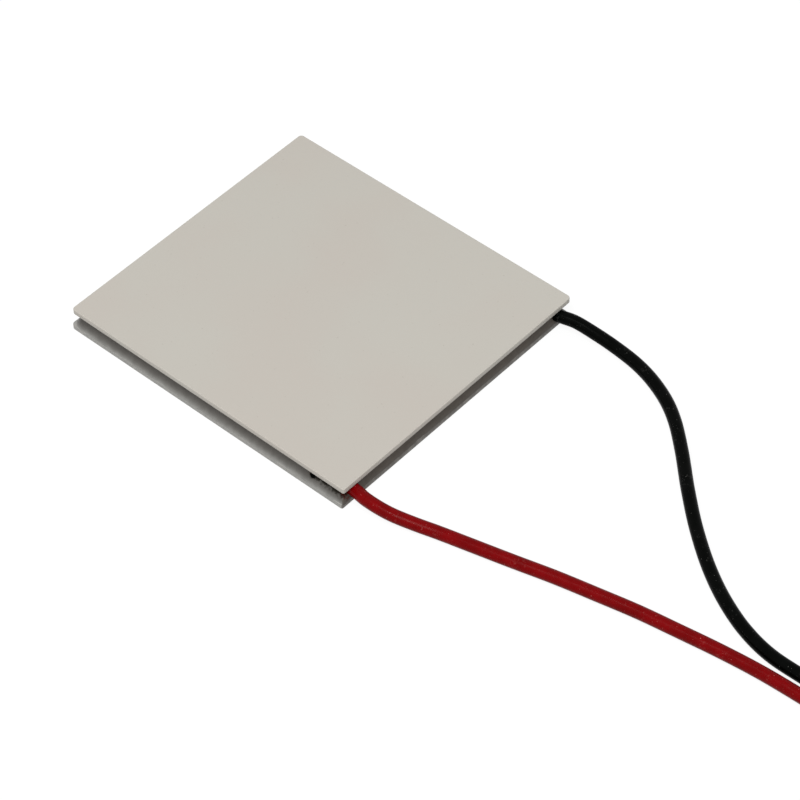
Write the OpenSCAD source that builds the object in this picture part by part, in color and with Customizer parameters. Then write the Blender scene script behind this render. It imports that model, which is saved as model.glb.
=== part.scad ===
// Thermoelectric cooling module. A chain of bismuth telluride legs is soldered
// between two alumina plates, sealed round the edge, and fed by two leads.
// Millimetres. The origin is the centre of the underside, +Z points up through
// the cold plate, +X runs along the lead side, and the leads leave towards -Y.
// With the red lead positive, the upper plate cools and the lower one heats.

/* [Plates] */
// Width of both plates, along the side that the leads leave
plate_w = 40; // [38:0.5:62]
// Length of both plates, away from the leads
plate_l = 44; // [42:0.5:66]
// Thickness of the lower, hot plate
lower_t = 0.75; // [0.5:0.05:1.2]
// Thickness of the upper, cold plate
upper_t = 0.75; // [0.5:0.05:1.2]
// Radius of the plates' corners
corner_r = 0.5; // [0.2:0.1:1]
// How far each plate sits off the module's centre, one each way
register = 0.1; // [0:0.02:0.2]

/* [Legs] */
// Side of a square leg
leg_w = 1.4; // [1:0.05:1.6]
// Height of a leg between its solder layers
leg_h = 1.1; // [1.05:0.05:2.5]
// From the edge that the leads leave to the first row of legs
lead_margin = 6; // [5.6:0.1:7.5]

/* [Copper and solder] */
// Thickness of a copper tab
tab_t = 0.3; // [0.2:0.05:0.45]
// How far a tab reaches past its legs
tab_lap = 0.1; // [0.06:0.01:0.16]
// Length cut off a tab's corners
tab_chamfer = 0.2; // [0.1:0.05:0.4]
// Thickness of a solder layer
solder_t = 0.05; // [0.02:0.01:0.1]
// How far solder reaches past a leg
solder_lap = 0.05; // [0.01:0.01:0.06]

/* [Edge seal] */
// From the plates' edge to the seal's foot on the lower plate
seal_foot = 0.2; // [0.1:0.05:0.4]
// Width of the seal's foot
seal_w = 0.9; // [0.8:0.05:1.2]
// How much deeper the seal starts under the upper plate than on the lower one
seal_slope = 0.55; // [0.3:0.05:0.65]
// Radius of the seal's hollow outer face
seal_face_r = 2; // [1.8:0.1:6]
// Clearance between the seal and the nearest tabs
seal_clear = 0.1; // [0.05:0.05:0.4]
// Radius of the pit that a bubble left in the seal
pit_r = 0.3; // [0.15:0.05:0.4]
// From the lead side's edge to the pit
pit_y = 4.6; // [3:0.2:12]

/* [Leads] */
// Diameter of a lead over its insulation
lead_d = 1.65; // [1.2:0.05:1.7]
// Diameter of a lead's tinned strands
strand_d = 0.9; // [0.6:0.05:1]
// Clearance round a lead in the seal
lead_clear = 0.02; // [0.01:0.01:0.03]
// How far the insulation reaches in past the plates' edge
lead_in = 1.8; // [1.5:0.1:2.2]
// From the end of the insulation to the terminal pad
pad_gap = 0.6; // [0.2:0.1:0.8]
// From the end of the strands to the next leg
strand_gap = 0.6; // [0.3:0.1:1]
// Radius of the solder mound that holds the strands
joint_r = 0.95; // [0.8:0.05:1]
// Length of the tinned tip at a lead's far end
tip_l = 5; // [3:0.5:6]

/* [Coils] */
// Radius at which a lead enters its coil
coil_r = 10.5; // [10:0.1:11]
// From one turn of a coil to the next
turn_pitch = 1.75; // [1.7:0.01:1.8]
// Turns of the red lead's coil
red_turns = 2; // [1.8:0.05:2.1]
// Turns of the black lead's coil
black_turns = 2.15; // [1.95:0.05:2.25]
// Width of the twist tie that holds a coil
tie_w = 2; // [1:0.1:3]
// Thickness of the twist tie
tie_t = 0.2; // [0.1:0.05:0.3]

/* [Hidden] */
columns = 16;
rows = 16;
$fn = 48;
eps = 0.01;

// Heights
tab_z = lower_t;
leg_z = lower_t + tab_t + solder_t;
gap = leg_h + 2 * (tab_t + solder_t);
upper_z = lower_t + gap;
upper_tab_z = upper_z - tab_t;
lead_z = lower_t + gap / 2;
rest_gap = 0.025;
rest_z = lead_d / 2 + rest_gap;
coil_z = tie_t + rest_z;

// The grid of legs. The first and last columns leave out their first leg,
// where the terminal pads take the leads.
tab_w = leg_w + 2 * tab_lap;
seal_in = seal_foot + seal_w;
edge_margin = seal_in + seal_clear + tab_w / 2;
pitch_x = (plate_w - 2 * edge_margin) / (columns - 1);
pitch_y = (plate_l - edge_margin - lead_margin) / (rows - 1);
function leg_x(i) = -plate_w / 2 + edge_margin + i * pitch_x;
function leg_y(j) = -plate_l / 2 + lead_margin + j * pitch_y;
function has_leg(i, j) = j > 0 || (i > 0 && i < columns - 1);

// The ends of the bared strands, and of the pad under them
insulation_y = -plate_l / 2 + lead_in;
pad_y = insulation_y + pad_gap;
strand_y = leg_y(1) - leg_w / 2 - strand_gap;
joint_lap = 0.2;
joint_rise = 0.3;

// Where each lead leaves the plates' edge
red_exit = [leg_x(0), -plate_l / 2];
black_exit = [leg_x(columns - 1), -plate_l / 2];

// Points along each lead from its end inside the seal: across and away from
// where it leaves the edge, then its height as a share of the way from the
// surface it lies on, 0, up to the middle of the gap, 1.
red_way = [
    [0, lead_in, 1], [0, 0, 1], [-0.2, -2, 0.95], [0.15, -5, 0.55], [1, -8, 0.2],
    [1.95, -11, 0], [2.95, -15, 0], [4.2, -20, 0], [5.5, -25, 0], [6.6, -30, 0],
    [7.65, -35, 0], [8.45, -40, 0], [9.2, -45, 0], [9.75, -50, 0], [10, -55, 0],
    [10.1, -60, 0], [10, -66, 0]
];
black_way = [
    [0, lead_in, 1], [0, 0, 1], [0.5, -2, 0.95], [0.8, -5, 0.5], [0.85, -8, 0.12],
    [0.45, -11.5, 0], [-0.4, -14.5, 0], [-1.85, -17.7, 0], [-3.65, -20.4, 0],
    [-6.75, -23.9, 0], [-11, -28.2, 0], [-15, -32.6, 0], [-18.6, -37.3, 0],
    [-21.05, -41.4, 0], [-22.8, -45.5, 0], [-23.7, -49.5, 0]
];
// Where each lead runs into its coil, across and away from its exit
red_coil_start = [10, -76];
black_coil_start = [-23.9, -61.2];
// The side of its coil that each lead starts on: 1 for +X, -1 for -X
red_side = 1;
black_side = -1;

// The straight stretch of lead that belongs to the coil's own solid
coil_lead = 6.2;
// Radius and angle of the bend that brings a coil's inner end into the hole
end_bend_r = 4;
end_bend_angle = 80;
// How much thinner the stretches of lead in a coil's solid are than the coil
lead_inset = 0.05;
tie_clear = 0.03;
twist_d = 1;
twist_l = 4;

lead_sides = 8;
white = [0.87, 0.86, 0.84];
seal_grey = [0.33, 0.31, 0.29];
copper = [0.78, 0.48, 0.34];
tin = [0.74, 0.75, 0.76];
n_grey = [0.42, 0.43, 0.45];
p_grey = [0.34, 0.34, 0.36];
red = [0.55, 0.05, 0.07];
black = [0.07, 0.07, 0.07];

function row_name(kind, row) = str(kind, "_legs_row_", row < 10 ? "0" : "", row);

// ---- Plates ----

module rounded_plate(t) {
    linear_extrude(t)
        union() {
            square([plate_w - 2 * corner_r, plate_l], center = true);
            square([plate_w, plate_l - 2 * corner_r], center = true);
            for (x = [-1, 1], y = [-1, 1])
                translate([x * (plate_w / 2 - corner_r), y * (plate_l / 2 - corner_r)])
                    circle(corner_r);
        }
}

module lower_ceramic() {
    color(white)
        translate([-register, register, 0])
            rounded_plate(lower_t);
}

module upper_ceramic() {
    color(white)
        translate([register, -register, upper_z])
            rounded_plate(upper_t);
}

// ---- Edge seal ----

// A block whose two sides across the span are hollow, from the foot on the
// lower plate up to the head under the upper one. It runs along Y.
module hollow_sided(span, run) {
    foot = span / 2 - seal_foot;
    head = foot - seal_slope;
    half_chord = norm([seal_slope, gap]) / 2;
    sag_centre = sqrt(seal_face_r * seal_face_r - half_chord * half_chord);
    lean = atan2(seal_slope, gap);
    translate([0, run / 2, lower_t])
        rotate([90, 0, 0])
            linear_extrude(run)
                difference() {
                    polygon([[-foot, 0], [foot, 0], [head, gap], [-head, gap]]);
                    for (side = [0, 1])
                        mirror([side, 0])
                            translate([(foot + head) / 2, gap / 2])
                                rotate(lean)
                                    translate([sag_centre, 0])
                                        circle(seal_face_r);
                }
}

module lead_bore(exit) {
    translate([exit[0], exit[1] - eps, lead_z])
        rotate([-90, 0, 0])
            cylinder(h = seal_in + 2 * eps, d = lead_d + 2 * lead_clear);
}

module perimeter_seal() {
    hole = [plate_w - 2 * seal_in, plate_l - 2 * seal_in, gap + 2 * eps];
    color(seal_grey)
        difference() {
            intersection() {
                hollow_sided(plate_w, plate_l);
                rotate(90)
                    hollow_sided(plate_l, plate_w);
            }
            translate([0, 0, upper_z - gap / 2])
                cube(hole, center = true);
            lead_bore(red_exit);
            lead_bore(black_exit);
            translate([seal_foot + seal_slope - plate_w / 2, pit_y - plate_l / 2, upper_z - pit_r / 2])
                sphere(pit_r);
        }
}

// ---- Copper tabs ----

// A tab with its corners cut, between two corners of a rectangle
module tab(low, high, t) {
    c = tab_chamfer;
    linear_extrude(t)
        polygon([
            [low[0] + c, low[1]], [high[0] - c, low[1]], [high[0], low[1] + c], [high[0], high[1] - c],
            [high[0] - c, high[1]], [low[0] + c, high[1]], [low[0], high[1] - c], [low[0], low[1] + c]
        ]);
}

// A tab over the legs from column i0, row j0 to column i1, row j1
module leg_tab(i0, j0, i1, j1) {
    reach = [tab_w / 2, tab_w / 2];
    tab([leg_x(i0), leg_y(j0)] - reach, [leg_x(i1), leg_y(j1)] + reach, tab_t);
}

// Along each column the lower plate joins rows 1-2, 3-4 and so on, and the
// upper plate rows 2-3, 4-5 and so on.
module lower_tabs() {
    color(copper)
        translate([0, 0, tab_z])
            for (i = [0 : columns - 1], j = [0 : 2 : rows - 2])
                if (has_leg(i, j))
                    leg_tab(i, j, i, j + 1);
}

module upper_tabs() {
    color(copper)
        translate([0, 0, upper_tab_z])
            for (i = [0 : columns - 1], j = [1 : 2 : rows - 3])
                leg_tab(i, j, i, j + 1);
}

// The chain turns into the next column over the last row and back over the first
module upper_cross_tabs() {
    color(copper)
        translate([0, 0, upper_tab_z]) {
            for (i = [0 : 2 : columns - 2])
                leg_tab(i, rows - 1, i + 1, rows - 1);
            for (i = [1 : 2 : columns - 3])
                leg_tab(i, 0, i + 1, 0);
        }
}

module terminal_pad(i) {
    color(copper)
        translate([0, 0, tab_z])
            tab([leg_x(i) - tab_w / 2, pad_y], [leg_x(i) + tab_w / 2, leg_y(1) + tab_w / 2], tab_t);
}

// ---- Legs and their solder ----

module post(i, j, w, h) {
    translate([leg_x(i) - w / 2, leg_y(j) - w / 2, 0])
        cube([w, w, h]);
}

module solder_layer() {
    for (i = [0 : columns - 1], j = [0 : rows - 1])
        if (has_leg(i, j))
            post(i, j, leg_w + 2 * solder_lap, solder_t);
}

module lower_solder() {
    color(tin)
        translate([0, 0, leg_z - solder_t])
            solder_layer();
}

module upper_solder() {
    color(tin)
        translate([0, 0, leg_z + leg_h])
            solder_layer();
}

// The legs of one row that are n-type, odd = 1, or p-type, odd = 0
module legs(row, odd) {
    j = row - 1;
    color(odd == 1 ? n_grey : p_grey)
        translate([0, 0, leg_z])
            for (i = [0 : columns - 1])
                if ((i + j) % 2 == odd && has_leg(i, j))
                    post(i, j, leg_w, leg_h);
}

// ---- The leads' inner ends ----

module strands(exit) {
    translate([exit[0], insulation_y, lead_z])
        rotate([-90, 0, 0])
            cylinder(h = strand_y - insulation_y, d = strand_d);
}

// A mound of solder on the pad, round the strands
module joint_solder(exit) {
    floor_z = tab_z + tab_t;
    length = strand_y - pad_y - joint_lap;
    difference() {
        translate([exit[0], pad_y + joint_lap, 0])
            rotate([90, 0, 180])
                linear_extrude(length)
                    intersection() {
                        translate([0, floor_z + joint_rise])
                            circle(joint_r);
                        translate([-tab_w / 2, floor_z])
                            square([tab_w, 2 * joint_r]);
                    }
        translate([exit[0], insulation_y - eps, lead_z])
            rotate([-90, 0, 0])
                cylinder(h = strand_y - insulation_y + 2 * eps, d = strand_d);
    }
}

// ---- The leads ----

function unit(v) = v / norm(v);

function lead_point(exit, way) =
    [exit[0] + way[0], exit[1] + way[1], rest_z + way[2] * (lead_z - rest_z)];

// The whole run, ending where the coil's own stretch of lead begins
function lead_run(exit, way, coil_start) = concat(
    [for (point = way) lead_point(exit, point)],
    [[exit[0] + coil_start[0], exit[1] + coil_start[1] + coil_lead, coil_z]]
);

function heading(run, i) =
    i == 0 || i == len(run) - 1 ? [0, -1, 0] : unit(run[i + 1] - run[i - 1]);

function ring(centre, ahead) =
    let (across = unit(cross(ahead, [0, 0, 1])), over = cross(across, ahead))
    [for (k = [0 : lead_sides - 1])
        let (a = 360 * (k + 0.5) / lead_sides)
        centre + lead_d / 2 * (cos(a) * across + sin(a) * over)];

module lead_tube(run) {
    n = lead_sides;
    last = len(run) - 1;
    points = [for (i = [0 : last]) each ring(run[i], heading(run, i))];
    walls = [for (i = [0 : last - 1], k = [0 : n - 1])
        let (a = i * n + k, b = i * n + (k + 1) % n)
        [a, b, b + n, a + n]];
    start = [for (k = [n - 1 : -1 : 0]) k];
    end = [for (k = [0 : n - 1]) last * n + k];
    polyhedron(points, concat(walls, [start, end]));
}

// ---- The coils ----

function coil_centre(exit, coil_start, side) =
    [exit[0] + coil_start[0] - side * coil_r, exit[1] + coil_start[1], coil_z];

// Radius at which a coil's last turn ends, and that of the coil's hole
function end_r(turns) = coil_r - turn_pitch * turns;
function hole_r(turns) = end_r(turns) - lead_d / 2;

// Everything below is drawn about a coil's centre, with the lead coming in
// from +Y on the +X side, and turned over for a lead that comes in at -X.
module about_coil(exit, coil_start, side) {
    translate(coil_centre(exit, coil_start, side))
        scale_side(side)
            children();
}

module scale_side(side) {
    if (side > 0)
        children();
    else
        mirror([1, 0, 0])
            children();
}

// Moves to the end of the bend at the coil's inner end, with +Z along the tip
module at_tip(turns) {
    rotate([0, 0, -360 * turns])
        translate([end_r(turns) - end_bend_r, 0, 0])
            rotate([0, 0, -end_bend_angle])
                translate([end_bend_r, 0, 0])
                    rotate([90, 0, 0])
                        children();
}

module coil(turns) {
    rotate_extrude($fn = 96)
        translate([hole_r(turns), -lead_d / 2])
            square([coil_r + lead_d / 2 - hole_r(turns), lead_d]);
    translate([coil_r, coil_lead, 0])
        rotate([90, 0, 0])
            cylinder(h = coil_lead, d = lead_d - lead_inset);
    at_tip(turns)
        translate([0, 0, -end_bend_r])
            cylinder(h = end_bend_r, d = lead_d - lead_inset);
}

module tip(turns) {
    at_tip(turns)
        cylinder(h = tip_l, d = strand_d);
}

// A loop of twist tie round the coil opposite the lead, with its twisted end
module coil_tie(turns) {
    low = sqrt(pow(hole_r(turns), 2) - pow(tie_w / 2, 2)) - tie_clear;
    high = coil_r + lead_d / 2 + tie_clear;
    half_h = lead_d / 2 + rest_gap;
    rotate([0, 0, 180]) {
        difference() {
            translate([low - tie_t, -tie_w / 2, -half_h - tie_t])
                cube([high - low + 2 * tie_t, tie_w, 2 * (half_h + tie_t)]);
            translate([low, -tie_w, -half_h])
                cube([high - low, 2 * tie_w, 2 * half_h]);
        }
        translate([high + tie_t, 0, 0])
            rotate([0, 90, 0])
                cylinder(h = twist_l, d = twist_d);
    }
}

// ---- Nodes ----

module red_terminal_pad() { terminal_pad(0); }
module black_terminal_pad() { terminal_pad(columns - 1); }
module red_inner_end() { color(tin) strands(red_exit); }
module black_inner_end() { color(tin) strands(black_exit); }
module red_joint_solder() { color(tin) joint_solder(red_exit); }
module black_joint_solder() { color(tin) joint_solder(black_exit); }
module red_lead() { color(red) lead_tube(lead_run(red_exit, red_way, red_coil_start)); }
module black_lead() { color(black) lead_tube(lead_run(black_exit, black_way, black_coil_start)); }
module red_lead_coil() { color(red) about_coil(red_exit, red_coil_start, red_side) coil(red_turns); }
module black_lead_coil() {
    color(black) about_coil(black_exit, black_coil_start, black_side) coil(black_turns);
}
module red_lead_tip() { color(tin) about_coil(red_exit, red_coil_start, red_side) tip(red_turns); }
module black_lead_tip() {
    color(tin) about_coil(black_exit, black_coil_start, black_side) tip(black_turns);
}
module red_lead_tie() { color(white) about_coil(red_exit, red_coil_start, red_side) coil_tie(red_turns); }
module black_lead_tie() {
    color(white) about_coil(black_exit, black_coil_start, black_side) coil_tie(black_turns);
}

lower_ceramic();
upper_ceramic();
perimeter_seal();
lower_tabs();
upper_tabs();
upper_cross_tabs();
red_terminal_pad();
black_terminal_pad();
lower_solder();
upper_solder();
for (row = [1 : rows]) {
    legs(row, 1);
    legs(row, 0);
}
red_inner_end();
black_inner_end();
red_joint_solder();
black_joint_solder();
red_lead();
black_lead();
red_lead_coil();
black_lead_coil();
red_lead_tip();
black_lead_tip();
red_lead_tie();
black_lead_tie();
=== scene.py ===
import math

import bmesh
import bpy
from mathutils import Matrix, Vector, noise


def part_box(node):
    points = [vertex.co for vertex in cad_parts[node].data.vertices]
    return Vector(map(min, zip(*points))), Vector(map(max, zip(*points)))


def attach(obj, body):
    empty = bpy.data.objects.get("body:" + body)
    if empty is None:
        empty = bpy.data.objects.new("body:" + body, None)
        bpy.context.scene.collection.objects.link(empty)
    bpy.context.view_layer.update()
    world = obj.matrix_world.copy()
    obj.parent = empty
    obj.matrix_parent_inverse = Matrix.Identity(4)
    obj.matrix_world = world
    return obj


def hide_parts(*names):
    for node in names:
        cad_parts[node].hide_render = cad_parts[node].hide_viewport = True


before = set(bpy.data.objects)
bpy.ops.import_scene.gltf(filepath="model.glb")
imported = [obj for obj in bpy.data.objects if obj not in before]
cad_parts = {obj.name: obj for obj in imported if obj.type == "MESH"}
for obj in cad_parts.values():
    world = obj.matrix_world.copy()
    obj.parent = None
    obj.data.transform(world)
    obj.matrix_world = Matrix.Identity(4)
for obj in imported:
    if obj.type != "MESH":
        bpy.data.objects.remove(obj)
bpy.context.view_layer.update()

MM = 0.001

# ---- Places that come from the frame, in millimetres ----


def box_mm(node):
    low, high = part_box(node)
    return Vector(low) / MM, Vector(high) / MM


def middle_of(box):
    return (box[0] + box[1]) / 2


LOWER = box_mm("lower_ceramic")
UPPER = box_mm("upper_ceramic")
EDGE_LOW = (LOWER[0] + UPPER[0]) / 2
EDGE_HIGH = (LOWER[1] + UPPER[1]) / 2
HALF_W = (EDGE_HIGH.x - EDGE_LOW.x) / 2
HALF_L = (EDGE_HIGH.y - EDGE_LOW.y) / 2
GAP_LOW = LOWER[1].z
GAP_HIGH = UPPER[0].z
GAP = GAP_HIGH - GAP_LOW

# ---- The plates and the sealant between them, in millimetres ----

CORNER_R = 0.5
RED_CORNER_R = 0.25
ARC_STEPS = 8

# The plates' soft edges. One more ring inside them keeps the flat faces' shading flat.
SOFT_EDGE = 0.11
SOFT_EDGE_STEPS = 6
FLAT_RING = 0.03

# The sealant's face starts near the lower plate's edge, leans in towards the upper plate and is
# hollow. On the lead side it leans less and is less hollow. It never comes out more than a little
# past its foot, and never lies deeper than just in front of its hidden back.
SEAL_CORNER_R = 1.5
SEAL_STEP = 0.16
SEAL_LEVELS = 18
SEAL_FOOT = 0.03
SEAL_FOOT_OUT = 0.01
SEAL_LEAN = 0.62
LEAD_SIDE_LEAN_LESS = 0.3
SEAL_HOLLOW = 0.8
LEAD_SIDE_HOLLOW_LESS = 0.45
SEAL_DEEPEST = 1.04
SEAL_BACK = 1.1
# The height of its waves and their number to a millimetre, the slice of noise that makes the
# slow ones, and how fast the quick ones change up the gap
SLOW_WAVES = (0.05, 0.35)
QUICK_WAVES = (0.025, 1.7)
SLOW_SLICE = 3.1
QUICK_UP = 2.5
# Its lip goes this far down and in, which fills the lower plate's soft edge
LIP_DOWN = 0.1
LIP_IN = 0.005

# The bubble's pit in the -X side, by its distance from the lead side, and the undercut, a ragged
# hollow between it and the red lead. Each starts between two shares of the gap's height. Both
# end RED_SIDE_IN from the -X edge, and the undercut ends a little beyond the pit.
PIT_Y = 5.15
PIT_R = 0.3
PIT_DEPTH = 0.6
PIT_START = (0.3, 0.45)
UNDERCUT_DEPTH = 0.36
UNDERCUT_START = (0.28, 0.38)
UNDERCUT_PAST_PIT = 0.4
UNDERCUT_END = 0.6
RED_SIDE_IN = 1.5
RED_SIDE_END = 0.5
RAGGED_EDGE = (0.06, 2.3)
ROUGH_FLOOR = (0.14, 1.9)
CAVITY_UP = 3

# Where the undercut's painted shade lies: round the height at which it starts, in from the -X edge
# and past the pit. Then the middles of the pit's painted shade and of the brown bits by the red
# lead.
UNDERCUT_Z = GAP_LOW + 0.33 * GAP
DARK_BELOW, DARK_ABOVE = 0.12, 0.16
DARK_IN, DARK_IN_END = 1.6, 2.2
DARK_PAST_PIT = 0.5
PIT_MIDDLE = (EDGE_LOW.x + 0.6, EDGE_LOW.y + PIT_Y, UNDERCUT_Z + 0.3)
BITS_MIDDLE = (EDGE_LOW.x + 1.2, EDGE_LOW.y + 0.3, GAP_LOW + 0.9)

# The heights between which the upper plate's darker lower edge and the lower plate's smear and
# painted shade fade in
EDGE_DARK_FADE = (GAP_HIGH + 0.3, GAP_HIGH - 0.05)
SMEAR_SHADE_FADE = (GAP_LOW / 2, GAP_LOW - 0.03)
# How upright a face is before it counts as a plate's side, by the size of its normal's Z, and how
# far it faces the leads before it takes the lead side's colours, by its normal's Y
SIDE_FADE = (0.75, 0.35)
PLATE_LEAD_SIDE = (-0.35, -0.75)
SEAL_LEAD_SIDE = (-0.25, -0.6)
# How fast the sealant darkens from its foot upwards with painted shade, and the strength of the
# upper plate's darker lower edge and of blotches
SHADE_FALLOFF = 5.5
EDGE_DARK_SHARE = 0.3
BLOTCH_SHARE = 0.2

# ---- The leads, as part.scad lays them, in millimetres ----

LEAD_D = 1.65
STRAND_D = 0.9
TIP_L = 5.0
REST_GAP = 0.025
REST_Z = LEAD_D / 2 + REST_GAP
COIL_R = 10.5
COIL_LEAD = 6.2
TURN_PITCH = 1.75
END_BEND_R = 4.0
END_BEND = math.radians(80)
TIE_W = 2.0
TIE_T = 0.2
TIE_CLEAR = 0.03

# Across and away from the exit, and the share of the exit's height
RED_WAY = [
    (0, 1.8, 1), (0, 0, 1), (-0.2, -2, 0.95), (0.15, -5, 0.55), (1, -8, 0.2),
    (1.95, -11, 0), (2.95, -15, 0), (4.2, -20, 0), (5.5, -25, 0), (6.6, -30, 0),
    (7.65, -35, 0), (8.45, -40, 0), (9.2, -45, 0), (9.75, -50, 0), (10, -55, 0),
    (10.1, -60, 0), (10, -66, 0),
]
BLACK_WAY = [
    (0, 1.8, 1), (0, 0, 1), (0.5, -2, 0.95), (0.8, -5, 0.5), (0.85, -8, 0.12),
    (0.45, -11.5, 0), (-0.4, -14.5, 0), (-1.85, -17.7, 0), (-3.65, -20.4, 0),
    (-6.75, -23.9, 0), (-11, -28.2, 0), (-15, -32.6, 0), (-18.6, -37.3, 0),
    (-21.05, -41.4, 0), (-22.8, -45.5, 0), (-23.7, -49.5, 0),
]
LEADS = [
    dict(name="red", way=RED_WAY, coil_start=(10, -76), side=1, turns=2.0),
    dict(name="black", way=BLACK_WAY, coil_start=(-23.9, -61.2), side=-1, turns=2.15),
]

# How finely a lead's way, its coil's turns and the bend at its coil's end are drawn
WAY_STEP = 0.5
STEPS_A_TURN = 90
END_BEND_STEPS = 10

# The tinned strands reach a little into the insulation, end at three lengths and are twisted by
# this many degrees
STRAND_IN = 0.3
STRAND_STAGGER = 0.1
STRAND_TWIST = 420
STRAND_STEPS = 30
STRAND_SIDES = 8

# The ties' ribbon: its thickness at the edges and over its wire, and the half-widths of the wire's
# ridge and of the thicker core. Its two tails are narrowed and twisted side by side.
TIE_CORNER_R = 0.5
RIBBON_EDGE = 0.05
RIBBON_RIDGE = 0.1
RIBBON_CORE = 0.25
RIBBON_WIRE = 0.12
TAIL_L = 4.0
TAIL_OVERLAP = 0.1
TAIL_TWIST = math.radians(540)
TAIL_STEPS = 24
TAIL_NARROWED = 0.42
TAIL_APART = 0.22

# ---- Values of the camera, light and floor ----

# The camera looks at a place on the upper plate, in millimetres, from past the red corner, and is
# turned a little clockwise. It was fitted to the plates' edges in the photograph.
SENSOR = 36
LENS = 141.3
LOOKED_AT = (-5.49, -17.72, UPPER[1].z)
CAMERA_DISTANCE = 362.3
CAMERA_AZIMUTH = math.radians(-136.43)
CAMERA_ELEVATION = math.radians(47.44)
CAMERA_ROLL = math.radians(-2.27)

# The lamp's direction, and its distance and size in metres
KEY_TOWARDS = (-0.42, -0.24, 0.88)
KEY_DISTANCE = 0.6
KEY_SIZE = 0.35
KEY_WATTS = 2.3
SKY_STRENGTH = 0.45

# The floor, in metres. It shows as white, mostly by its own light, and shares less.
FLOOR_HALF = 3.0
FLOOR_Z = -0.00002
FLOOR_SHARED = (0.5, 0.5, 0.5, 1)
FLOOR_SHOWN = (1, 1, 1, 1)
FLOOR_GLOW = 1.04
FLOOR_GLOW_SHARE = 0.86

# ---- Colours ----


def srgb(r, g, b):
    """A linear colour from 0-255 display values."""
    def linear(c):
        c /= 255
        return c / 12.92 if c <= 0.04045 else ((c + 0.055) / 1.055) ** 2.4
    return (linear(r), linear(g), linear(b), 1)


ALUMINA = srgb(199, 193, 184)
ALUMINA_CLOUD = srgb(199, 195, 186)
ALUMINA_GRAIN = srgb(184, 178, 168)
ALUMINA_SPECK = srgb(168, 160, 150)
ALUMINA_EDGE_DARK = srgb(112, 108, 101)

# The sealant high in the gap, darkened by painted shade under the upper plate, and low in the gap
# by the lower plate. On the lead side it stays dark down to the lower plate.
SEAL_SHADED_HIGH = srgb(93, 90, 86)
SEAL_LOW = srgb(156, 155, 151)
LEAD_SIDE_SEAL_HIGH = srgb(95, 88, 81)
LEAD_SIDE_SEAL_LOW = srgb(98, 94, 89)
# Its smear on the lower plate's sides, with painted shade that darkens them towards the seam: at
# their top and at their foot
SMEAR_SHADE_HIGH = srgb(164, 163, 159)
SMEAR_SHADE_LOW = srgb(176, 175, 171)
LEAD_SMEAR_SHADE_HIGH = srgb(102, 98, 93)
LEAD_SMEAR_SHADE_LOW = srgb(122, 119, 115)
# Its blotches, the painted shade in the undercut and in the pit, and the brown bits by the red lead
BLOTCH = srgb(62, 58, 53)
UNDERCUT_SHADE = srgb(40, 37, 31)
PIT_SHADE = srgb(3, 3, 2)
BITS = srgb(78, 34, 26)

INSULATION = {
    "red": dict(deep=srgb(114, 1, 3), pale=srgb(130, 3, 7), speck=srgb(190, 112, 106),
                specular=0.06),
    "black": dict(deep=srgb(2, 3, 2), pale=srgb(6, 7, 6), speck=srgb(104, 104, 100),
                  specular=0.03),
}

METALS = {
    "tab_copper": dict(bright=srgb(196, 122, 88), dull=srgb(150, 88, 64),
                       roughness=0.34, grain=1.4),
    "dull_solder": dict(bright=srgb(178, 180, 182), dull=srgb(142, 143, 145),
                        roughness=0.4, grain=2.5),
    "n_telluride": dict(bright=srgb(118, 119, 124), dull=srgb(86, 87, 92),
                        roughness=0.42, grain=3.5),
    "p_telluride": dict(bright=srgb(98, 98, 104), dull=srgb(70, 70, 76),
                        roughness=0.42, grain=3.5),
}

TIE_WHITE = srgb(226, 225, 220)
TIE_SHADE = srgb(212, 211, 205)

# ---- Meshes ----


def mesh_object(name, points, faces, material, slot):
    """A smooth mesh in millimetres with outward faces, made into an object of the root body."""
    mesh = bpy.data.meshes.new(name)
    mesh.from_pydata([Vector(p) * MM for p in points], [], faces)
    mesh.validate()
    turned = bmesh.new()
    turned.from_mesh(mesh)
    bmesh.ops.recalc_face_normals(turned, faces=turned.faces)
    turned.to_mesh(mesh)
    turned.free()
    mesh.polygons.foreach_set("use_smooth", [True] * len(mesh.polygons))
    mesh.materials.append(material)
    piece = bpy.data.objects.new(name, mesh)
    bpy.context.scene.collection.objects.link(piece)
    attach(piece, "root")
    return piece


def loft(rings, closed=False):
    """Points and faces of a skin over rings of equal length, with caps if it is open."""
    n = len(rings[0])
    points = [p for ring in rings for p in ring]
    faces = []
    spans = len(rings) if closed else len(rings) - 1
    for i in range(spans):
        a, b = i * n, ((i + 1) % len(rings)) * n
        faces += [(a + k, a + (k + 1) % n, b + (k + 1) % n, b + k) for k in range(n)]
    if not closed:
        faces.append(tuple(reversed(range(n))))
        faces.append(tuple(range((len(rings) - 1) * n, len(rings) * n)))
    return points, faces


# How far forward and how wide the rings of a tube's domed end are, in its radius
DOME = [(0, 1), (0.35, 0.94), (0.75, 0.66), (0.97, 0.25)]


def tube(path, radius, sides):
    """Rings of a round tube along a path, with domed ends."""
    rings = []
    last = len(path) - 1
    over = Vector((0, 0, 1))
    for i, p in enumerate(path):
        ahead = (path[min(i + 1, last)] - path[max(i - 1, 0)]).normalized()
        over = (over - ahead * over.dot(ahead)).normalized()
        across = ahead.cross(over)
        around = [across * math.cos(a) + over * math.sin(a)
                  for a in (2 * math.pi * k / sides for k in range(sides))]
        if i in (0, last):
            outward = -1 if i == 0 else 1
            for forward, wide in (reversed(DOME) if i == 0 else DOME):
                rings.append([p + ahead * outward * radius * forward + d * radius * wide
                              for d in around])
        else:
            rings.append([p + d * radius for d in around])
    return rings


def merge(parts):
    """One list of points and faces from several."""
    points, faces = [], []
    for more_points, more_faces in parts:
        base = len(points)
        points += more_points
        faces += [tuple(base + i for i in face) for face in more_faces]
    return points, faces


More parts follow.
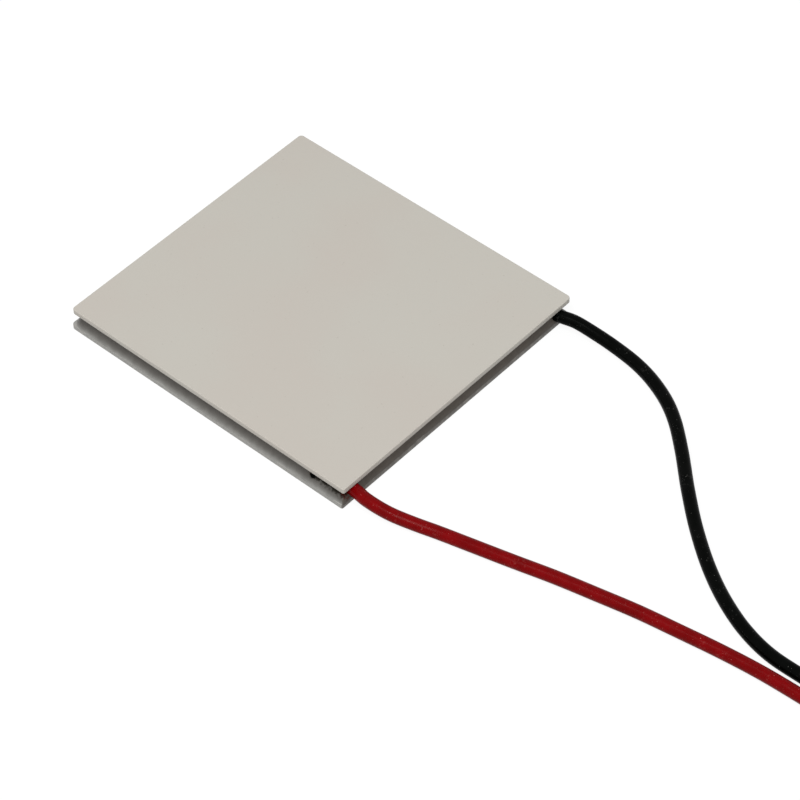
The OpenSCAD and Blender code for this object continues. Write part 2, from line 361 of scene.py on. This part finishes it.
def outline(half_w, half_l, radius, inset=0.0, centre=(0, 0), first=None):
    """Points round a rounded rectangle. first is the radius of its -X -Y corner, if it differs."""
    corners = [(-1, -1, 180, first or radius), (1, -1, 270, radius),
               (1, 1, 0, radius), (-1, 1, 90, radius)]
    ring = []
    for x, y, start, corner_r in corners:
        r = corner_r - inset
        cx = centre[0] + x * (half_w - corner_r)
        cy = centre[1] + y * (half_l - corner_r)
        for k in range(ARC_STEPS + 1):
            a = math.radians(start + 90 * k / ARC_STEPS)
            ring.append((cx + r * math.cos(a), cy + r * math.sin(a)))
    return ring


def closer(ring, step):
    """The points of a ring and more between them, about a step apart."""
    dense = []
    for k, a in enumerate(ring):
        b = ring[(k + 1) % len(ring)]
        pieces = max(1, round(math.dist(a, b) / step))
        dense += [(a[0] + (b[0] - a[0]) * j / pieces, a[1] + (b[1] - a[1]) * j / pieces)
                  for j in range(pieces)]
    return dense


# ---- Materials ----


class Shader:
    """A material with its node tree, a Principled shader and coordinates in millimetres."""

    NOISE_ROUGHNESS = 0.55

    def __init__(self, name, specular=0.5, metallic=0.0):
        self.material = bpy.data.materials.new(name)
        self.material.use_nodes = True
        self.tree = self.material.node_tree
        self.bsdf = self.tree.nodes["Principled BSDF"]
        self.bsdf.inputs["Specular IOR Level"].default_value = specular
        self.bsdf.inputs["Metallic"].default_value = metallic
        coordinates = self.node("ShaderNodeTexCoord")
        scale = self.node("ShaderNodeVectorMath", operation="SCALE")
        scale.inputs["Scale"].default_value = 1 / MM
        self.link(coordinates.outputs["Object"], scale.inputs[0])
        self.mm = scale.outputs[0]

    def node(self, kind, **settings):
        made = self.tree.nodes.new(kind)
        for key, value in settings.items():
            setattr(made, key, value)
        return made

    def link(self, output, target):
        self.tree.links.new(output, target)

    def noise(self, scale, detail, stretch=None):
        """Cloudy noise, with scale as its waves to a millimetre."""
        source = self.mm
        if stretch:
            mapping = self.node("ShaderNodeMapping")
            mapping.inputs["Scale"].default_value = stretch
            self.link(source, mapping.inputs["Vector"])
            source = mapping.outputs[0]
        made = self.node("ShaderNodeTexNoise")
        made.inputs["Scale"].default_value = scale
        made.inputs["Detail"].default_value = detail
        made.inputs["Roughness"].default_value = self.NOISE_ROUGHNESS
        self.link(source, made.inputs["Vector"])
        return made.outputs["Fac"]

    def spread(self, value, low, high, to_low=0.0, to_high=1.0):
        """A value smoothly spread from low and high to two others."""
        made = self.node("ShaderNodeMapRange", interpolation_type="SMOOTHSTEP")
        ends = {"From Min": low, "From Max": high, "To Min": to_low, "To Max": to_high}
        for socket, number in ends.items():
            made.inputs[socket].default_value = number
        self.link(value, made.inputs["Value"])
        return made.outputs["Result"]

    def patches(self, scale, detail, low, high, to_low=0.0, to_high=1.0, stretch=None):
        """Noise in patches: what lies between low and high is spread from to_low to to_high."""
        return self.spread(self.noise(scale, detail, stretch), low, high, to_low, to_high)

    def math(self, operation, a, b=0.0):
        made = self.node("ShaderNodeMath", operation=operation)
        for socket, value in zip(made.inputs, (a, b)):
            if isinstance(value, (int, float)):
                socket.default_value = value
            else:
                self.link(value, socket)
        return made.outputs[0]

    def times(self, a, b):
        return self.math("MULTIPLY", a, b)

    def larger(self, a, b):
        return self.math("MAXIMUM", a, b)

    def mix(self, factor, a, b):
        made = self.node("ShaderNodeMix", data_type="RGBA")
        self.link(factor, made.inputs["Factor"])
        for socket, value in ((made.inputs["A"], a), (made.inputs["B"], b)):
            if isinstance(value, tuple):
                socket.default_value = value
            else:
                self.link(value, socket)
        return made.outputs["Result"]

    def split(self, vector):
        made = self.node("ShaderNodeSeparateXYZ")
        self.link(vector, made.inputs[0])
        return made.outputs

    def normal(self):
        return self.split(self.node("ShaderNodeNewGeometry").outputs["Normal"])

    def reach(self, place, far, near):
        """1 within near of a place, falling to 0 at far."""
        made = self.node("ShaderNodeVectorMath", operation="DISTANCE")
        self.link(self.mm, made.inputs[0])
        made.inputs[1].default_value = place
        return self.spread(made.outputs["Value"], far, near)

    def colour(self, value):
        self.link(value, self.bsdf.inputs["Base Color"])

    def roughness(self, value):
        self.link(value, self.bsdf.inputs["Roughness"])

    def bump(self, height, depth_mm, strength, under=None):
        made = self.node("ShaderNodeBump")
        made.inputs["Strength"].default_value = strength
        made.inputs["Distance"].default_value = depth_mm * MM
        self.link(height, made.inputs["Height"])
        if under is not None:
            self.link(under, made.inputs["Normal"])
        self.link(made.outputs[0], self.bsdf.inputs["Normal"])
        return made.outputs[0]


def alumina(name):
    """Sintered alumina: off-white, matt and finely grained. The snapped sides are ridged."""
    s = Shader(name, specular=0.25)
    cloud = s.patches(scale=0.06, detail=2, low=0.35, high=0.65)
    base = s.mix(cloud, ALUMINA, ALUMINA_CLOUD)
    grain = s.patches(scale=14, detail=2, low=0.62, high=0.8, to_high=0.3)
    base = s.mix(grain, base, ALUMINA_GRAIN)
    specks = s.patches(scale=3.2, detail=1, low=0.75, high=0.79, to_high=0.35)
    base = s.mix(specks, base, ALUMINA_SPECK)
    side = s.spread(s.math("ABSOLUTE", s.normal()["Z"]), *SIDE_FADE)
    s.roughness(s.patches(scale=2.2, detail=3, low=0.3, high=0.7, to_low=0.44, to_high=0.56))
    fine = s.bump(s.noise(scale=26, detail=3), depth_mm=0.004, strength=0.5)
    ridges = s.times(s.noise(scale=5.5, detail=2, stretch=(1, 1, 0.12)), side)
    s.bump(ridges, depth_mm=0.03, strength=0.6, under=fine)
    return s, base, side


def upper_alumina():
    """The cold plate's alumina, darker in patches along its lower edge by the gap."""
    s, base, side = alumina("upper_alumina")
    # Darker in patches along the lower edge of the sides, next to the gap.
    low = s.spread(s.split(s.mm)["Z"], *EDGE_DARK_FADE)
    patchy = s.patches(scale=1.6, detail=4, low=0.3, high=0.7, to_low=0.2)
    darker_edge = s.times(s.times(low, patchy), side)
    s.colour(s.mix(s.times(darker_edge, EDGE_DARK_SHARE), base, ALUMINA_EDGE_DARK))
    return s.material


def lower_alumina():
    """The hot plate's alumina, whose sides carry a smear of sealant and painted shade, darker
    towards the seam and darkest by the leads.
    """
    s, base, side = alumina("lower_alumina")
    # Smear and painted shade: the sides darken towards the seam at their top, most on the lead
    # side.
    height = s.spread(s.split(s.mm)["Z"], 0.0, GAP_LOW)
    smear_and_shade = s.mix(height, SMEAR_SHADE_LOW, SMEAR_SHADE_HIGH)
    lead_smear_and_shade = s.mix(height, LEAD_SMEAR_SHADE_LOW, LEAD_SMEAR_SHADE_HIGH)
    on_lead_side = s.spread(s.normal()["Y"], *PLATE_LEAD_SIDE)
    smear_and_shade = s.mix(on_lead_side, smear_and_shade, lead_smear_and_shade)
    patchy = s.patches(scale=1.1, detail=4, low=0.25, high=0.6, to_low=0.75,
                       stretch=(1, 1, 0.5))
    above = s.spread(s.split(s.mm)["Z"], *SMEAR_SHADE_FADE)
    s.colour(s.mix(s.times(patchy, s.larger(side, above)), base, smear_and_shade))
    return s.material


def sealant():
    """Silicone sealant: dark up under the upper plate with painted shade, paler towards the lower
    plate.
    """
    s = Shader("edge_sealant", specular=0.1)
    place = s.split(s.mm)
    # Painted shade: the colour darkens from the foot up towards the upper plate.
    from_top = s.math("DIVIDE", s.math("SUBTRACT", GAP_HIGH, place["Z"]), GAP)
    out_of_shade = s.math("POWER", s.larger(from_top, 0.0), SHADE_FALLOFF)
    on_lead_side = s.spread(s.normal()["Y"], *SEAL_LEAD_SIDE)
    base = s.mix(on_lead_side, s.mix(out_of_shade, SEAL_SHADED_HIGH, SEAL_LOW), s.mix(out_of_shade, LEAD_SIDE_SEAL_HIGH, LEAD_SIDE_SEAL_LOW))
    blotch = s.patches(scale=0.9, detail=4, low=0.35, high=0.7)
    base = s.mix(s.times(blotch, BLOTCH_SHARE), base, BLOTCH)
    # Painted shade in the undercut's hollow: a dark colour round the height where it starts, in
    # from the -X edge and up to a little past the pit.
    by_red = s.spread(place["X"], EDGE_LOW.x + DARK_IN_END, EDGE_LOW.x + DARK_IN)
    pit_y = EDGE_LOW.y + PIT_Y
    by_pit = s.spread(place["Y"], pit_y + DARK_PAST_PIT, pit_y)
    uneven = s.patches(scale=2.6, detail=3, low=0.3, high=0.7, to_low=-0.1, to_high=0.1)
    ragged = s.math("ADD", place["Z"], uneven)
    above = s.spread(ragged, UNDERCUT_Z - DARK_BELOW, UNDERCUT_Z + DARK_ABOVE)
    undercut = s.times(above, s.times(by_red, by_pit))
    base = s.mix(undercut, base, UNDERCUT_SHADE)
    near_lead = s.reach(BITS_MIDDLE, far=1.3, near=0.5)
    bits = s.times(near_lead, s.patches(scale=3.4, detail=3, low=0.45, high=0.6))
    base = s.mix(bits, base, BITS)
    # Painted shade in the pit: near black inside its hole.
    pit = s.reach(PIT_MIDDLE, far=0.5, near=0.36)
    s.colour(s.mix(pit, base, PIT_SHADE))
    satin = s.patches(scale=1.6, detail=3, low=0.3, high=0.7, to_low=0.36, to_high=0.55)
    s.roughness(s.larger(satin, s.larger(pit, undercut)))
    coarse = s.bump(s.noise(scale=3.0, detail=4), depth_mm=0.03, strength=0.6)
    s.bump(s.noise(scale=18, detail=3), depth_mm=0.006, strength=0.5, under=coarse)
    return s.material


def insulation(name, deep, pale, speck, specular):
    """Extruded lead insulation with faint streaks, scuffs and dust."""
    s = Shader(name, specular)
    streak = s.patches(scale=0.5, detail=4, low=0.3, high=0.7)
    base = s.mix(streak, deep, pale)
    rubbed = s.patches(scale=0.55, detail=3, low=0.55, high=0.68)
    scuff = s.times(rubbed, s.patches(scale=3.6, detail=4, low=0.52, high=0.66, to_high=0.12))
    base = s.mix(scuff, base, speck)
    dust = s.patches(scale=4.5, detail=2, low=0.71, high=0.74, to_high=0.8)
    s.colour(s.mix(dust, base, speck))
    s.roughness(s.patches(scale=1.1, detail=4, low=0.3, high=0.7, to_low=0.16, to_high=0.26))
    waves = s.bump(s.noise(scale=0.8, detail=2), depth_mm=0.015, strength=0.25)
    s.bump(s.noise(scale=12, detail=3), depth_mm=0.002, strength=0.1, under=waves)
    return s.material


def metal(name, bright, dull, roughness, grain):
    """Bare metal with a mottled oxide tint."""
    s = Shader(name, metallic=1.0)
    s.colour(s.mix(s.patches(grain, detail=4, low=0.35, high=0.65), bright, dull))
    s.roughness(s.patches(grain * 2.5, detail=3, low=0.3, high=0.7,
                          to_low=roughness - 0.08, to_high=roughness + 0.1))
    s.bump(s.noise(grain * 6, detail=3), depth_mm=0.006, strength=0.5)
    return s.material


def tie_plastic():
    """White plastic ribbon over a wire."""
    s = Shader("tie_plastic")
    s.colour(s.mix(s.patches(scale=1.5, detail=3, low=0.35, high=0.65), TIE_WHITE, TIE_SHADE))
    s.roughness(s.patches(scale=4, detail=2, low=0.3, high=0.7, to_low=0.34, to_high=0.48))
    s.bump(s.noise(scale=7, detail=3), depth_mm=0.01, strength=0.5)
    return s.material


def dress_cad_nodes():
    """Dresses the CAD nodes that stay, sealed between the plates. Returns the solder's material."""
    metals = {name: metal(name, **looks) for name, looks in METALS.items()}
    for name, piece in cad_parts.items():
        if name.startswith("n_legs"):
            chosen = metals["n_telluride"]
        elif name.startswith("p_legs"):
            chosen = metals["p_telluride"]
        elif "tabs" in name or "pad" in name:
            chosen = metals["tab_copper"]
        elif "solder" in name or "inner_end" in name:
            chosen = metals["dull_solder"]
        else:
            continue
        piece.data.materials.clear()
        piece.data.materials.append(chosen)
    return metals["dull_solder"]


# ---- The camera, the light and the floor ----


def camera():
    """The photographer's place: in front of the red corner, turned a little clockwise."""
    data = bpy.data.cameras.new("camera")
    data.sensor_width = SENSOR
    data.lens = LENS
    eye = bpy.data.objects.new("camera", data)
    level = math.cos(CAMERA_ELEVATION)
    away = Vector((level * math.cos(CAMERA_AZIMUTH), level * math.sin(CAMERA_AZIMUTH),
                   math.sin(CAMERA_ELEVATION)))
    place = Matrix.Translation((Vector(LOOKED_AT) + away * CAMERA_DISTANCE) * MM)
    aim = away.to_track_quat("Z", "Y").to_matrix().to_4x4()
    eye.matrix_world = place @ aim @ Matrix.Rotation(CAMERA_ROLL, 4, "Z")
    bpy.context.scene.collection.objects.link(eye)
    bpy.context.scene.camera = eye


def key_light():
    """A square softbox that looks at the module."""
    data = bpy.data.lights.new("key_light", "AREA")
    data.shape = "SQUARE"
    data.size = KEY_SIZE
    data.energy = KEY_WATTS
    lamp = bpy.data.objects.new("key_light", data)
    direction = Vector(KEY_TOWARDS).normalized()
    lamp.location = direction * KEY_DISTANCE
    lamp.rotation_mode = "QUATERNION"
    lamp.rotation_quaternion = direction.to_track_quat("Z", "Y")
    bpy.context.scene.collection.objects.link(lamp)


def seen_directly(tree):
    """1 for camera, glossy and transmission rays, and 0 for the light that surfaces share."""
    path = tree.nodes.new("ShaderNodeLightPath")
    total = path.outputs["Is Camera Ray"]
    for name in ("Is Glossy Ray", "Is Transmission Ray"):
        add = tree.nodes.new("ShaderNodeMath")
        add.operation = "MAXIMUM"
        tree.links.new(total, add.inputs[0])
        tree.links.new(path.outputs[name], add.inputs[1])
        total = add.outputs[0]
    return total


def world_light():
    """Even sky light, which shows as white where it is seen."""
    world = bpy.data.worlds.new("world")
    world.use_nodes = True
    tree = world.node_tree
    shown = tree.nodes.new("ShaderNodeMapRange")
    shown.inputs["To Min"].default_value = SKY_STRENGTH
    shown.inputs["To Max"].default_value = 1.0
    tree.links.new(seen_directly(tree), shown.inputs["Value"])
    tree.nodes["Background"].inputs["Color"].default_value = (1, 1, 1, 1)
    tree.links.new(shown.outputs["Result"], tree.nodes["Background"].inputs["Strength"])
    bpy.context.scene.world = world


def floor():
    """A white table that keeps a faint shadow, and shares less light than it shows."""
    corners = [(x * FLOOR_HALF, y * FLOOR_HALF, FLOOR_Z)
               for x, y in ((-1, -1), (1, -1), (1, 1), (-1, 1))]
    mesh = bpy.data.meshes.new("floor")
    mesh.from_pydata(corners, [], [(0, 1, 2, 3)])
    material = bpy.data.materials.new("floor_white")
    material.use_nodes = True
    tree = material.node_tree
    output = tree.nodes["Material Output"]
    tree.nodes.remove(tree.nodes["Principled BSDF"])
    shared = tree.nodes.new("ShaderNodeBsdfDiffuse")
    shared.inputs["Color"].default_value = FLOOR_SHARED
    shown_diffuse = tree.nodes.new("ShaderNodeBsdfDiffuse")
    shown_diffuse.inputs["Color"].default_value = FLOOR_SHOWN
    glow = tree.nodes.new("ShaderNodeEmission")
    glow.inputs["Strength"].default_value = FLOOR_GLOW
    shown = tree.nodes.new("ShaderNodeMixShader")
    shown.inputs["Fac"].default_value = FLOOR_GLOW_SHARE
    tree.links.new(shown_diffuse.outputs[0], shown.inputs[1])
    tree.links.new(glow.outputs[0], shown.inputs[2])
    chosen = tree.nodes.new("ShaderNodeMixShader")
    tree.links.new(seen_directly(tree), chosen.inputs["Fac"])
    tree.links.new(shared.outputs[0], chosen.inputs[1])
    tree.links.new(shown.outputs[0], chosen.inputs[2])
    tree.links.new(chosen.outputs[0], output.inputs["Surface"])
    mesh.materials.append(material)
    plane = bpy.data.objects.new("floor", mesh)
    bpy.context.scene.collection.objects.link(plane)


# ---- The plates and the sealant ----


def plate(name, node, material):
    """A plate with softened edges, over its CAD solid."""
    low, high = box_mm(node)
    middle = middle_of((low, high))
    half = (high - low) / 2
    profile = [(SOFT_EDGE + FLAT_RING, 0.0)]
    for k in range(SOFT_EDGE_STEPS + 1):
        a = math.radians(90 * k / SOFT_EDGE_STEPS)
        profile.append((SOFT_EDGE * (1 - math.sin(a)), SOFT_EDGE * (1 - math.cos(a))))
    levels = [(inset, low.z + rise) for inset, rise in profile]
    levels += [(inset, high.z - drop) for inset, drop in reversed(profile)]
    rings = []
    for inset, z in levels:
        ring = outline(half.x, half.y, CORNER_R, inset, (middle.x, middle.y), RED_CORNER_R)
        rings.append([(x, y, z) for x, y in ring])
    piece = mesh_object(name, *loft(rings), material, "alumina")
    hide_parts(node)


def ramp(value, low, high):
    """0 below low, 1 above high and straight between."""
    return max(0.0, min(1.0, (value - low) / (high - low)))


def unevenness(x, y, z, height, scale):
    """Smooth waves of a height, with scale as their number to a millimetre along the edge."""
    return height * noise.noise(Vector((x * scale, y * scale, z)))


def inward_from(x, y):
    """The direction from a point of the edge towards the inside."""
    core_w = HALF_W - SEAL_CORNER_R
    core_l = HALF_L - SEAL_CORNER_R
    core = Vector((max(-core_w, min(core_w, x)), max(-core_l, min(core_l, y))))
    return (core - Vector((x, y))).normalized()


def lower_edge(x, y):
    """How far the lower plate's edge lies in from the module's edge at a place on it."""
    inward = inward_from(x, y)
    middle = middle_of(LOWER)
    return inward.x * middle.x + inward.y * middle.y


def cavity_depth(x, y, t):
    """How much deeper the sealant's face lies in the pit and in the undercut beside it."""
    on_red_side = ramp(EDGE_LOW.x + RED_SIDE_IN - x, 0, RED_SIDE_END)
    from_corner = y - EDGE_LOW.y
    pit = math.exp(-((from_corner - PIT_Y) / PIT_R) ** 2) * ramp(t, *PIT_START)
    ragged = unevenness(x, y, t * CAVITY_UP, *RAGGED_EDGE)
    along = ramp(PIT_Y + UNDERCUT_PAST_PIT - from_corner, 0, UNDERCUT_END)
    undercut = along * ramp(t + ragged, *UNDERCUT_START)
    rough = UNDERCUT_DEPTH + unevenness(x, y, t * CAVITY_UP, *ROUGH_FLOOR)
    return on_red_side * max(PIT_DEPTH * pit, rough * undercut)


def seal_inset(x, y, t):
    """How far in from the module's edge the face lies, at a share t of the gap's height."""
    lead_side = max(0.0, inward_from(x, y).y)
    foot = SEAL_FOOT + lower_edge(x, y)
    lean = SEAL_LEAN - LEAD_SIDE_LEAN_LESS * lead_side
    hollow = SEAL_HOLLOW - LEAD_SIDE_HOLLOW_LESS * lead_side
    inset = foot + lean * t + hollow * t * (1 - t)
    inset += unevenness(x, y, SLOW_SLICE, *SLOW_WAVES)
    inset += unevenness(x, y, t * QUICK_UP, *QUICK_WAVES)
    return max(foot - SEAL_FOOT_OUT, min(SEAL_DEEPEST, inset + cavity_depth(x, y, t)))


def seal(material):
    """The bead of sealant round the gap, with a pit and a ragged end by the red lead."""
    rings = []
    edge = outline(HALF_W, HALF_L, SEAL_CORNER_R, first=RED_CORNER_R)
    for x, y in closer(edge, SEAL_STEP):
        inward = inward_from(x, y)
        profile = [(lower_edge(x, y) + LIP_IN, GAP_LOW - LIP_DOWN)]
        for k in range(SEAL_LEVELS + 1):
            t = k / SEAL_LEVELS
            profile.append((seal_inset(x, y, t), GAP_LOW + GAP * t))
        profile += [(SEAL_BACK, GAP_HIGH), (SEAL_BACK, GAP_LOW)]
        rings.append([(x + inward.x * inset, y + inward.y * inset, z) for inset, z in profile])
    piece = mesh_object("edge_seal_bead", *loft(rings, closed=True), material, "edge_seal")
    # Each ring's faces begin with those in sight, and its last three are hidden and stay flat
    faces_a_ring = SEAL_LEVELS + 4
    for k, face in enumerate(piece.data.polygons):
        face.use_smooth = k % faces_a_ring <= SEAL_LEVELS
    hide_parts("perimeter_seal")


# ---- The leads ----


def smooth_way(points):
    """Evenly close points on a curve through the given ones."""
    points = [Vector(p) for p in points]
    ends = [points[0] * 2 - points[1]] + points + [points[-1] * 2 - points[-2]]
    way = []
    for a, b, c, d in zip(ends, ends[1:], ends[2:], ends[3:]):
        pieces = max(1, math.ceil((c - b).length / WAY_STEP))
        knots = [0.0]
        for p, q in ((a, b), (b, c), (c, d)):
            knots.append(knots[-1] + math.sqrt((q - p).length))
        for j in range(pieces):
            t = knots[1] + (knots[2] - knots[1]) * j / pieces
            way.append(between(a, b, c, d, knots, t))
    return way + [points[-1]]


def between(a, b, c, d, knots, t):
    """A point of the centripetal spline between b and c."""
    def blend(p, q, low, high):
        return p * ((high - t) / (high - low)) + q * ((t - low) / (high - low))
    ab = blend(a, b, knots[0], knots[1])
    bc = blend(b, c, knots[1], knots[2])
    cd = blend(c, d, knots[2], knots[3])
    abc = blend(ab, bc, knots[0], knots[2])
    bcd = blend(bc, cd, knots[1], knots[3])
    return blend(abc, bcd, knots[1], knots[2])


def coil_place(lead):
    """The centre of a lead's coil, and the middle of its exit."""
    inner = middle_of(box_mm(lead["name"] + "_inner_end"))
    exit_point = Vector((inner.x, EDGE_LOW.y, inner.z))
    x, y = lead["coil_start"]
    centre = Vector((exit_point.x + x - lead["side"] * COIL_R, exit_point.y + y, REST_Z + TIE_T))
    return centre, exit_point


def end_radius(lead):
    """The radius at which the coil's turns end."""
    return COIL_R - TURN_PITCH * lead["turns"]


def coil_points(lead, centre):
    """The turns of the coil and the bend at its inner end, then the way the tip goes."""
    def at(x, y):
        return centre + Vector((lead["side"] * x, y, 0))
    whole = 2 * math.pi * lead["turns"]
    count = math.ceil(lead["turns"] * STEPS_A_TURN)
    points = []
    for k in range(1, count + 1):
        a = whole * k / count
        r = COIL_R - TURN_PITCH * a / (2 * math.pi)
        points.append(at(r * math.cos(a), -r * math.sin(a)))
    bend_r = end_radius(lead) - END_BEND_R
    bend = bend_r * math.cos(whole), -bend_r * math.sin(whole)
    for k in range(1, END_BEND_STEPS + 1):
        a = whole + END_BEND * k / END_BEND_STEPS
        points.append(at(bend[0] + END_BEND_R * math.cos(a), bend[1] - END_BEND_R * math.sin(a)))
    a = whole + END_BEND
    ahead = Vector((-lead["side"] * math.sin(a), -math.cos(a), 0))
    return points, ahead


def lead_piece(lead, material, tin, tie_material):
    """A lead from the seal to its coil, with its tinned tip and the tie round its coil."""
    name = lead["name"]
    centre, exit_point = coil_place(lead)
    run = [(exit_point.x + x, exit_point.y + y, REST_Z + share * (exit_point.z - REST_Z))
           for x, y, share in lead["way"]]
    start = centre + Vector((lead["side"] * COIL_R, 0, 0))
    run += [start + Vector((0, COIL_LEAD, 0)), start]
    turns, ahead = coil_points(lead, centre)
    way = smooth_way(run) + turns

    curve = bpy.data.curves.new(name + "_insulation", "CURVE")
    curve.dimensions = "3D"
    curve.bevel_depth = LEAD_D / 2 * MM
    curve.bevel_resolution = 5
    curve.use_fill_caps = True
    spline = curve.splines.new("POLY")
    spline.points.add(len(way) - 1)
    for point, place in zip(spline.points, way):
        point.co = (*(place * MM), 1)
    spline.use_smooth = True
    curve.materials.append(material)
    insulated = bpy.data.objects.new(name + "_insulation", curve)
    bpy.context.scene.collection.objects.link(insulated)
    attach(insulated, "root")
    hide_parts(name + "_lead", name + "_lead_coil")

    tip = strands(name + "_tinned_strands", way[-1], ahead, tin)
    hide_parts(name + "_lead_tip")
    tie = twist_tie(lead, centre, tie_material)
    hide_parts(name + "_lead_tie")


def strands(name, start, ahead, material):
    """Seven tinned strands: one in the middle and six twisted round it."""
    strand_r = STRAND_D / 6
    over = Vector((0, 0, 1))
    across = ahead.cross(over).normalized()
    parts = []
    for number in range(7):
        offset = 0 if number == 0 else 2 * strand_r
        shorter = STRAND_STAGGER * (number % 3)
        path = []
        for k in range(STRAND_STEPS + 1):
            share = k / STRAND_STEPS
            a = math.radians(60 * number + STRAND_TWIST * share)
            along = -STRAND_IN + share * (TIP_L + STRAND_IN - strand_r - shorter)
            aside = across * math.cos(a) + over * math.sin(a)
            path.append(start + ahead * along + aside * offset)
        parts.append(loft(tube(path, strand_r, STRAND_SIDES)))
    return mesh_object(name, *merge(parts), material, "tinned_strands")


def twist_tie(lead, centre, material):
    """A ribbon round the coil's turns, and its two tails twisted together outside."""
    out = Vector((-lead["side"], 0, 0))
    hole = end_radius(lead) - LEAD_D / 2
    low = math.sqrt(hole ** 2 - (TIE_W / 2) ** 2) - TIE_CLEAR - TIE_T / 2
    high = COIL_R + LEAD_D / 2 + TIE_CLEAR + TIE_T / 2
    half_h = LEAD_D / 2 + REST_GAP + TIE_T / 2
    loop = outline((high - low) / 2, half_h, TIE_CORNER_R, centre=((low + high) / 2, 0))
    section = ribbon_section()
    rings = []
    for k, (r, z) in enumerate(loop):
        before, after = loop[k - 1], loop[(k + 1) % len(loop)]
        along = Vector((after[0] - before[0], after[1] - before[1])).normalized()
        normal = Vector((along.y, -along.x))
        ring = []
        for wide, thick in section:
            up = Vector((0, wide, z + normal.y * thick))
            ring.append(centre + out * (r + normal.x * thick) + up)
        rings.append(ring)
    parts = [loft(rings, closed=True)]
    for half_turn in (0, math.pi):
        rings = []
        for k in range(TAIL_STEPS + 1):
            share = k / TAIL_STEPS
            a = half_turn + TAIL_TWIST * share
            spot = centre + out * (high - TAIL_OVERLAP + share * TAIL_L)
            wide_way = Vector((0, math.cos(a), math.sin(a)))
            thick_way = Vector((0, -math.sin(a), math.cos(a)))
            rings.append([spot + wide_way * wide * TAIL_NARROWED + thick_way * (thick + TAIL_APART)
                          for wide, thick in section])
        parts.append(loft(rings))
    return mesh_object(lead["name"] + "_twist_tie", *merge(parts), material, "twist_tie")


def ribbon_section():
    """Half-width and thickness of the ribbon, thicker in the middle over its wire."""
    top = [(RIBBON_WIRE, RIBBON_RIDGE), (RIBBON_CORE, RIBBON_EDGE), (TIE_W / 2, RIBBON_EDGE)]
    top = [(-wide, thick) for wide, thick in reversed(top)] + top
    return top + [(wide, -thick) for wide, thick in reversed(top)]


# ---- Making the scene ----

camera()
tie_material = tie_plastic()
tinned = dress_cad_nodes()
for lead in LEADS:
    lead_material = insulation(lead["name"] + "_insulation", **INSULATION[lead["name"]])
    lead_piece(lead, lead_material, tinned, tie_material)
plate("hot_plate", "lower_ceramic", lower_alumina())
plate("cold_plate", "upper_ceramic", upper_alumina())
seal(sealant())
world_light()
key_light()
floor()
bpy.context.scene.view_settings.view_transform = "Standard"
